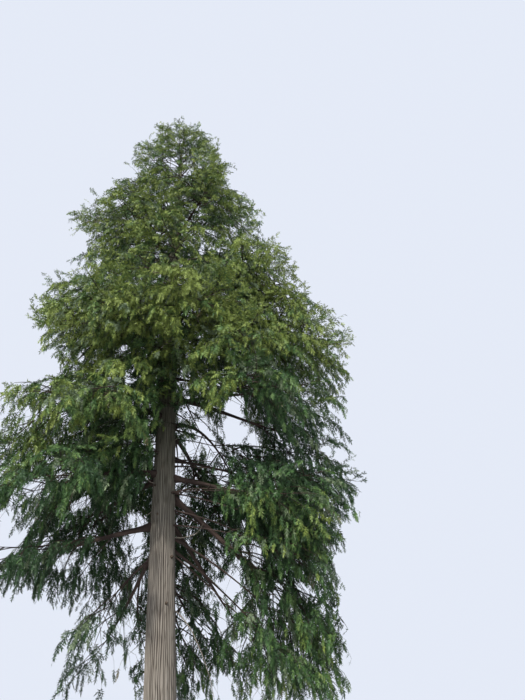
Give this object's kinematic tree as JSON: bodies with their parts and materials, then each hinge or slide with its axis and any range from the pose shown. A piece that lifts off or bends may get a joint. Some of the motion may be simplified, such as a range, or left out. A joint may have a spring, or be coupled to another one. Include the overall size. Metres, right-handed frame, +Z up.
{
  "type": "lawson cypress",
  "caption": "Tall, old lawson cypress with a clear lower trunk, reddish boughs and drooping masses of fern-like evergreen sprays up to a nodding tip.",
  "frame": {"origin": "middle of the flat cut under the trunk, at ground level", "axes": "+Z up the tree, +X to the tree's right as seen from its near side, -Y towards the near side"},
  "size_m": [14.4416, 14.9772, 32.7535],
  "materials": {
    "trunk_bark": "matte",
    "bough_bark": "matte",
    "foliage": "satin"
  },
  "bodies": {
    "root": {"trunk": "trunk_bark", "bough_lowest_1": "bough_bark", "bough_lowest_2": "bough_bark", "bough_lowest_3": "bough_bark", "bough_lowest_4": "bough_bark", "bough_curtain": "bough_bark", "bough_arm": "bough_bark", "bough_low_1": "bough_bark", "bough_low_2": "bough_bark", "bough_low_3": "bough_bark", "bough_low_4": "bough_bark", "bough_middle_1": "bough_bark", "bough_middle_2": "bough_bark", "bough_middle_3": "bough_bark", "bough_middle_4": "bough_bark", "bough_middle_5": "bough_bark", "bough_middle_6": "bough_bark", "bough_shoulder_1": "bough_bark", "bough_shoulder_2": "bough_bark", "bough_shoulder_3": "bough_bark", "bough_shoulder_4": "bough_bark", "bough_shoulder_5": "bough_bark", "bough_shoulder_6": "bough_bark", "foliage_lowest_1": "foliage", "foliage_lowest_2": "foliage", "foliage_lowest_3": "foliage", "foliage_lowest_4": "foliage", "foliage_curtain": "foliage", "foliage_arm": "foliage", "foliage_low_1": "foliage", "foliage_low_2": "foliage", "foliage_low_3": "foliage", "foliage_low_4": "foliage", "foliage_middle_1": "foliage", "foliage_middle_2": "foliage", "foliage_middle_3": "foliage", "foliage_middle_4": "foliage", "foliage_middle_5": "foliage", "foliage_middle_6": "foliage", "foliage_shoulder_1": "foliage", "foliage_shoulder_2": "foliage", "foliage_shoulder_3": "foliage", "foliage_shoulder_4": "foliage", "foliage_shoulder_5": "foliage", "foliage_shoulder_6": "foliage", "foliage_upper_1": "foliage", "foliage_upper_2": "foliage", "foliage_upper_3": "foliage", "foliage_upper_4": "foliage", "foliage_upper_5": "foliage", "foliage_upper_6": "foliage", "foliage_upper_7": "foliage", "foliage_upper_8": "foliage", "foliage_upper_9": "foliage", "foliage_upper_10": "foliage", "foliage_upper_11": "foliage", "foliage_upper_12": "foliage", "foliage_upper_13": "foliage", "foliage_upper_14": "foliage", "foliage_leader": "foliage"}
  },
  "joints": []
}
